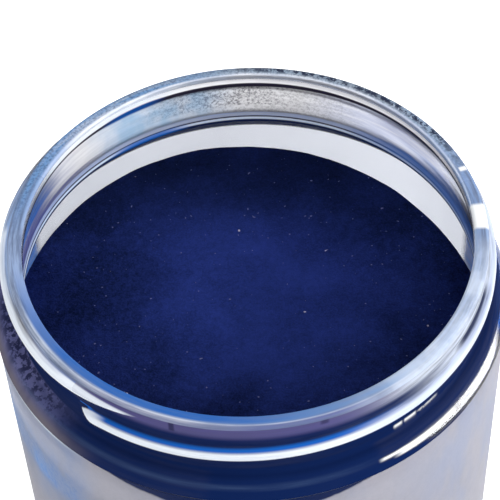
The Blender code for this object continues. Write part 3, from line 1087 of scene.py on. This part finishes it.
@dataclass(frozen=True)
class Studio:
    """White floor and soft light."""

    floor_size: float = 6.0
    floor_drop: float = 0.0002
    floor_tone: Colour = (0.9, 0.9, 0.9)
    floor_glow: Colour = (0.62, 0.62, 0.62)
    fill: float = 0.55
    card_tone: Colour = (0.02, 0.03, 0.06)
    card_edge_x: Span = (0.25, 0.08)
    card_edge_y: Span = (0.25, 0.12)
    lights: tuple[Panel, ...] = (
        Panel("window_light", (0.67, -0.07, 0.40), (0.60, 0.14), 4.0, along=SLANT),
        Panel("front_light", (-0.10, -0.55, 0.65), (0.50, 0.50), 2.5),
        Panel("back_light", (0.0, 0.60, 0.30), (0.60, 0.40), 1.2),
    )
    cards: tuple[Panel, ...] = (
        Panel("window_card", (0.71, -0.095, 0.237), (0.90, 0.32), 19.0, along=SLANT),
        Panel("low_card", (0.0, -0.20, 0.0003), (0.30, 0.30), aim=(0.0, -0.20, -1.0)),
        Panel("back_card", (0.0, 0.55, 0.75), (0.80, 0.80)),
    )

    @staticmethod
    def white_rays(sheet: ShaderSheet) -> Shade:
        """1 for the rays that see the white surroundings, 0 for the rays that light the jar."""
        path = sheet.node("ShaderNodeLightPath", {}, {}).socket.node
        seen = Shade(sheet, path.outputs[Ray.CAMERA.value])
        for kind in (Ray.GLOSSY, Ray.TRANSMISSION):
            seen = seen.most(Shade(sheet, path.outputs[kind.value]))
        return seen

    def light_world(self) -> None:
        """White surroundings that light the jar more softly than they show."""
        world = bpy.data.worlds.new("white_tent")
        bpy.context.scene.world = world
        sheet = ShaderSheet(world)
        strength = self.white_rays(sheet) * (1.0 - self.fill) + self.fill
        white = sheet.node("ShaderNodeBackground", {}, {"Color": WHITE, "Strength": strength})
        sheet.node("ShaderNodeOutputWorld", {}, {"Surface": white})

    def lay_floor(self) -> None:
        """A plain white floor that keeps the jar's shadow."""
        Modeller.start()
        bpy.ops.mesh.primitive_plane_add(size=self.floor_size, location=(0.0, 0.0, -self.floor_drop))
        floor = bpy.context.object
        floor.name = "studio_floor"
        material = bpy.data.materials.new("floor_white")
        sheet = ShaderSheet(material)
        lit = sheet.node("ShaderNodeBsdfDiffuse", {}, {"Color": self.floor_tone})
        white = sheet.blend(self.white_rays(sheet), BLACK, self.floor_glow)
        shine = sheet.node("ShaderNodeEmission", {}, {"Color": white})
        sheet.surface(sheet.node("ShaderNodeAddShader", {}, {0: lit, 1: shine}))
        Modeller.dress(floor, material)

    @staticmethod
    def hang_light(panel: Panel, aim: Vector) -> None:
        """Hang a rectangular soft light that reflections don't show.

        Args:
            panel: the light's place, size and power.
            aim: the point that it faces.
        """
        lamp = bpy.data.lights.new(panel.name, "AREA")
        lamp.shape = "RECTANGLE"
        lamp.size, lamp.size_y = panel.size
        lamp.energy = panel.strength
        light = bpy.data.objects.new(panel.name, lamp)
        light.matrix_world = panel.stand(aim)
        light.visible_glossy = False
        bpy.context.scene.collection.objects.link(light)

    def set_card(self, panel: Panel, aim: Vector) -> None:
        """Set up a card that only reflections show.

        Args:
            panel: the card's place, size and glow.
            aim: the point that it faces.
        """
        Modeller.start()
        bpy.ops.mesh.primitive_plane_add(size=1.0, location=(0.0, 0.0, 0.0))
        card = bpy.context.object
        card.name = panel.name
        card.matrix_world = panel.stand(aim) @ Matrix.Diagonal((*panel.size, 1.0, 1.0))
        material = bpy.data.materials.new(panel.name)
        sheet = ShaderSheet(material)
        if panel.strength > 0.0:
            x, y, _ = sheet.axes(sheet.coordinates())
            edge = (x * x).between(*self.card_edge_x) * (y * y).between(*self.card_edge_y)
            shine = sheet.blend(edge, BLACK, WHITE)
            shader = sheet.node("ShaderNodeEmission", {}, {"Color": shine, "Strength": panel.strength})
        else:
            shader = sheet.node("ShaderNodeBsdfDiffuse", {}, {"Color": self.card_tone})
        sheet.surface(shader)
        Modeller.dress(card, material)
        card.visible_camera = False
        card.visible_diffuse = False
        card.visible_transmission = False
        card.visible_shadow = False

    def build(self, aim: Vector) -> None:
        """Set up the surroundings, the floor, the lights and the cards."""
        self.light_world()
        self.lay_floor()
        for light in self.lights:
            self.hang_light(light, aim)
        for card in self.cards:
            self.set_card(card, aim)


@dataclass(frozen=True)
class PhotoCamera:
    """The camera at the photograph's angle."""

    elevation: float = math.radians(48.70)
    roll: float = math.radians(-2.87)
    distance: float = 0.2386
    aside: float = -0.0004
    lift: float = 0.0027
    focal_pixels: float = 1714.0
    clip_start: float = 0.01

    def build(self, target: Vector) -> None:
        """Place the camera so that it looks past a target near the picture's middle.

        Args:
            target: the middle of the rim.
        """
        ahead = Vector((0.0, math.cos(self.elevation), -math.sin(self.elevation)))
        level_right = Vector((1.0, 0.0, 0.0))
        level_up = level_right.cross(ahead)
        right = math.cos(self.roll) * level_right + math.sin(self.roll) * level_up
        up = right.cross(ahead)
        place = target - ahead * self.distance - right * self.aside - up * self.lift
        lens = bpy.data.cameras.new("photo_camera")
        lens.sensor_width = SENSOR_MM
        lens.lens = SENSOR_MM * self.focal_pixels / IMAGE_PIXELS
        lens.clip_start = self.clip_start
        camera = bpy.data.objects.new("photo_camera", lens)
        turn = Matrix((right, up, -ahead)).transposed()
        camera.matrix_world = Matrix.Translation(place) @ turn.to_4x4()
        bpy.context.scene.collection.objects.link(camera)
        bpy.context.scene.camera = camera


def main() -> None:
    """Build every piece, the studio and the camera."""
    logging.basicConfig(level=logging.INFO, format="%(name)s: %(message)s")
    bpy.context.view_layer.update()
    bpy.context.scene.view_settings.view_transform = "Standard"
    _, jar_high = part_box("jar_body")
    jar = JarBody(height=jar_high[2], body_radius=jar_high[0])
    label_low, label_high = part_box("label")
    label = LabelSleeve(outer_radius=label_high[0], bottom=label_low[2], top=label_high[2])
    powder_low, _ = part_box("pigment_powder")
    powder = PigmentFill(radius=jar.inner_radius - POWDER_CLEARANCE, floor=powder_low[2],
                         floor_round=jar.floor_round, level=jar.under_shoulder - HEADSPACE)
    for sub_assembly in (jar, label, powder):
        piece = sub_assembly.build()
        LOG.info("%s: %d faces", piece.name, len(piece.data.polygons))
    rim_centre = Vector((0.0, 0.0, jar.height))
    Studio().build(rim_centre)
    PhotoCamera().build(rim_centre)


if __name__ == "__main__":
    main()
